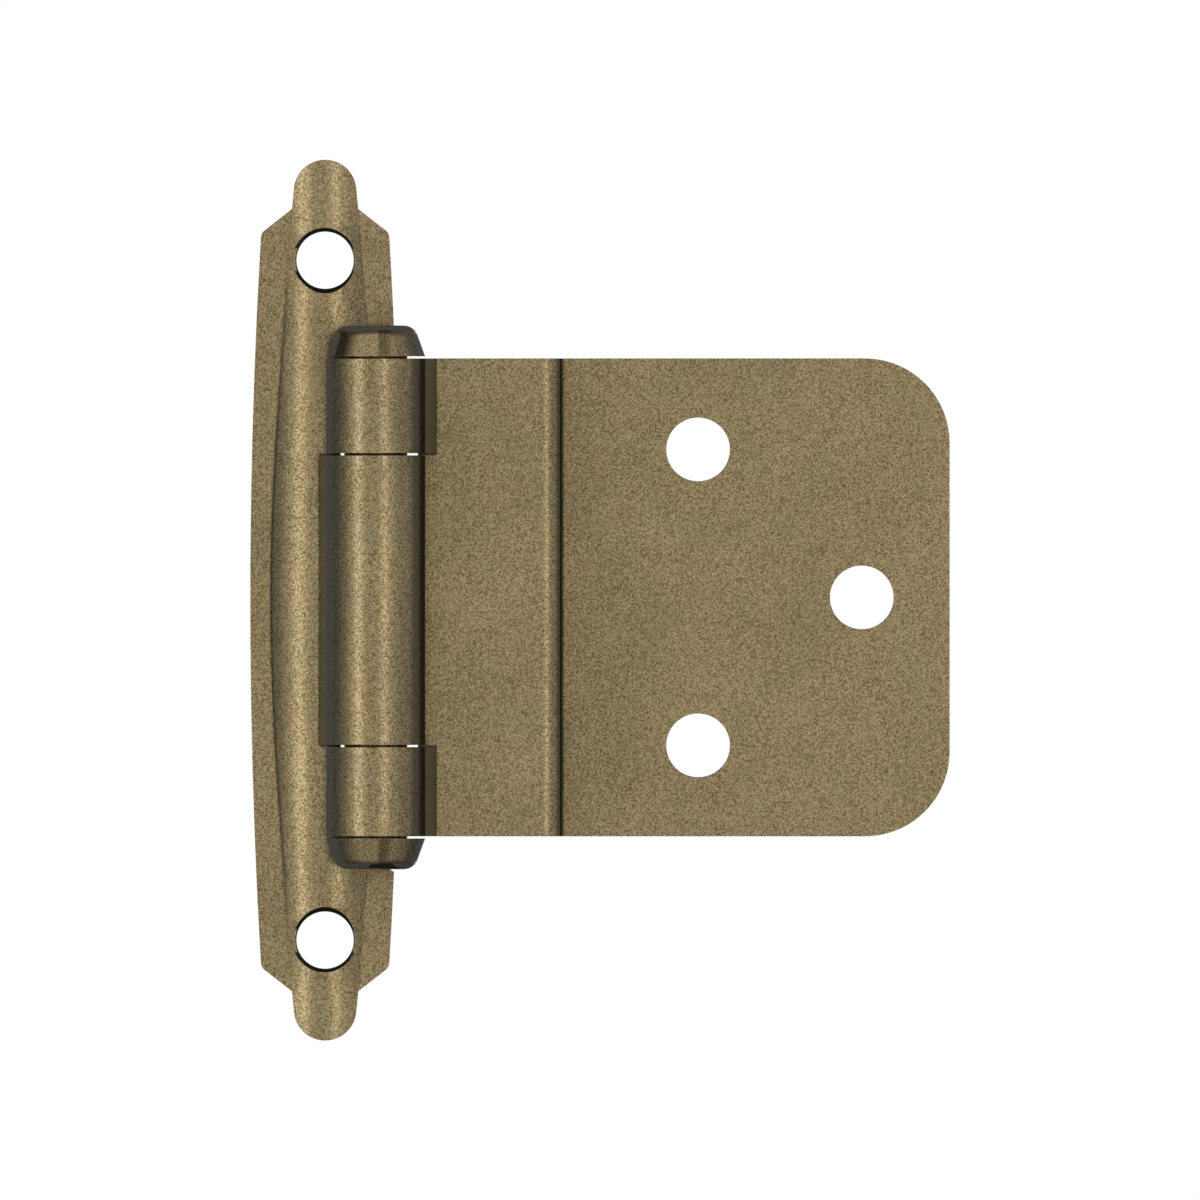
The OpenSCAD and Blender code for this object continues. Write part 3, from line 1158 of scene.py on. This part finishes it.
def level_corners(x: Span, y: Span, z: float) -> tuple[Point, ...]:
    """Give the corners of a level face.

    Args:
        x: Its left and right edges.
        y: Its front and back edges.
        z: Its height.

    Returns:
        The four corners, in order.
    """
    (left, right), (near, far) = x, y
    return (left, near, z), (right, near, z), (right, far, z), (left, far, z)


def upright_corners(x: float, y: Span, z: Span) -> tuple[Point, ...]:
    """Give the corners of an upright face beside the hinge.

    Args:
        x: Its place from left to right.
        y: Its front and back edges.
        z: Its lower and upper edges.

    Returns:
        The four corners, in order.
    """
    (near, far), (low, high) = y, z
    return (x, near, low), (x, far, low), (x, far, high), (x, near, high)


@dataclass(frozen=True)
class Card:
    """A flat card that only the hinge's metal sees, as a darker part of the studio.

    Attributes:
        name: Name of the card.
        corners: Its four corners, in order.
        tone: Brightness that the metal sees in it.
    """

    name: str
    corners: tuple[Point, ...]
    tone: Colour

    def build(self) -> None:
        """Set up the card."""
        card = flat_sheet(self.name, self.corners)
        card.visible_camera = False
        card.visible_diffuse = False
        card.visible_shadow = False
        paint = bpy.data.materials.new(self.name + "_paint")
        bench = Bench(paint)
        glow = bench.node("ShaderNodeEmission", {}, {"Color": (*self.tone, 1), "Strength": 1.0})
        bench.finish(glow)
        card.data.materials.append(paint)


@dataclass(frozen=True)
class Studio:
    """Floor, cards, lamps, white surroundings and camera.

    Attributes:
        target: The point at the middle of the picture.
        picture: Width and height of the picture at the hinge.
        camera_distance: How far in front of the target the camera stands.
        camera_range: Nearest and farthest distances that it sees.
        floor_gap: Gap between the hinge's foot and the floor.
        floor_reach: How far the floor reaches to each side.
        floor_colour: Colour of the floor.
        ambient: Brightness of the white surroundings as light on dull surfaces.
        lamps: The soft boxes.
        cards: The shading cards.
    """

    target: Vector = field(default_factory=lambda: Vector((21.80 * MM, 0.0, 0.012 * MM)))
    picture: float = 95.17 * MM
    camera_distance: float = 0.6
    camera_range: Span = (0.01, 10.0)
    floor_gap: float = 0.1 * MM
    floor_reach: float = 2.0
    floor_colour: Colour = linear(244, 244, 243)
    ambient: float = 0.85
    lamps: tuple[Lamp, ...] = (
        Lamp("left_strip", azimuth=-42, width=0.19, height=0.64, radiance=1.75),
        Lamp("right_strip", azimuth=19, width=0.16, height=0.64, radiance=1.42),
    )
    cards: tuple[Card, ...] = (
        Card(
            "left_fade",
            upright_corners(LEFT_SIDE, (-0.12, 0), (GROUND, 0.12)),
            (0.40, 0.44, 0.50),
        ),
        Card(
            "left_shade",
            upright_corners(LEFT_SIDE, (-0.12, 0.3), (0.12, CEILING)),
            (0.02, 0.02, 0.02),
        ),
        Card(
            "left_card",
            upright_corners(LEFT_SIDE, (0, BACK), (GROUND, 0.12)),
            (0.14, 0.18, 0.26),
        ),
        Card(
            "left_back_card",
            upright_corners(LEFT_SIDE, (0.3, BACK), (0.12, CEILING)),
            (0.14, 0.18, 0.26),
        ),
        Card(
            "right_fade",
            upright_corners(RIGHT_SIDE, (-0.29, 0), (GROUND, CEILING)),
            (0.66, 0.68, 0.72),
        ),
        Card(
            "right_card",
            upright_corners(RIGHT_SIDE, (0, BACK), (GROUND, CEILING)),
            (0.17, 0.20, 0.27),
        ),
        Card(
            "ceiling_shade",
            level_corners((LEFT_SIDE, RIGHT_SIDE), (-0.2, 0.03), CEILING),
            (0.03, 0.03, 0.03),
        ),
        Card(
            "ceiling_card",
            level_corners((LEFT_SIDE, RIGHT_SIDE), (0.03, BACK), CEILING),
            (0.15, 0.18, 0.25),
        ),
        Card(
            "foot_card",
            level_corners((LEFT_SIDE, RIGHT_SIDE), (-0.15, BACK), GROUND),
            (0.06, 0.065, 0.075),
        ),
    )

    def surroundings(self) -> None:
        """Make the surroundings white to the camera and to the metal, and softer as light."""
        world = bpy.data.worlds.new("studio_white")
        bpy.context.scene.world = world
        bench = Bench(world)
        path = bench.node("ShaderNodeLightPath", {}, {}, "Is Camera Ray")
        rays = path.socket.node.outputs
        glossy = Wire(bench, rays["Is Glossy Ray"])
        passing = Wire(bench, rays["Is Transmission Ray"])
        seen = bench.node("ShaderNodeClamp", {}, {"Value": path + glossy + passing})
        level = seen * (1 - self.ambient) + self.ambient
        sky = bench.node(
            "ShaderNodeBackground", {}, {"Color": (1, 1, 1, 1), "Strength": level}
        )
        bench.finish(sky, "ShaderNodeOutputWorld")

    def floor(self) -> None:
        """Lay the pale floor just under the hinge's foot."""
        low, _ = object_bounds()
        reach = (-self.floor_reach, self.floor_reach)
        floor = flat_sheet("floor", level_corners(reach, reach, low.z - self.floor_gap))
        floor.visible_glossy = False
        floor.visible_shadow = False
        paint = bpy.data.materials.new("floor_paint")
        bench = Bench(paint)
        bench.finish(bench.node("ShaderNodeBsdfDiffuse", {}, {"Color": (*self.floor_colour, 1)}))
        floor.data.materials.append(paint)

    def camera(self) -> None:
        """Point a parallel camera straight at the hinge's front."""
        data = bpy.data.cameras.new("camera")
        data.type = "ORTHO"
        data.ortho_scale = self.picture
        data.clip_start, data.clip_end = self.camera_range
        camera = bpy.data.objects.new("camera", data)
        camera.location = self.target + Vector((0, -self.camera_distance, 0))
        camera.rotation_euler = (math.pi / 2, 0, 0)
        bpy.context.collection.objects.link(camera)
        bpy.context.scene.camera = camera

    def build(self) -> None:
        """Set up the whole studio."""
        self.camera()
        self.surroundings()
        self.floor()
        for card in self.cards:
            card.build()
        for lamp in self.lamps:
            lamp.build(self.target)
        bpy.context.scene.view_settings.view_transform = "Standard"


def main() -> None:
    """Dress the hinge, build the studio and note the sizes."""
    logging.basicConfig(level=logging.INFO, format="%(message)s")
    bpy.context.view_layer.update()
    FrameSide().build()
    DoorSide().build()
    Studio().build()


if __name__ == "__main__":
    main()
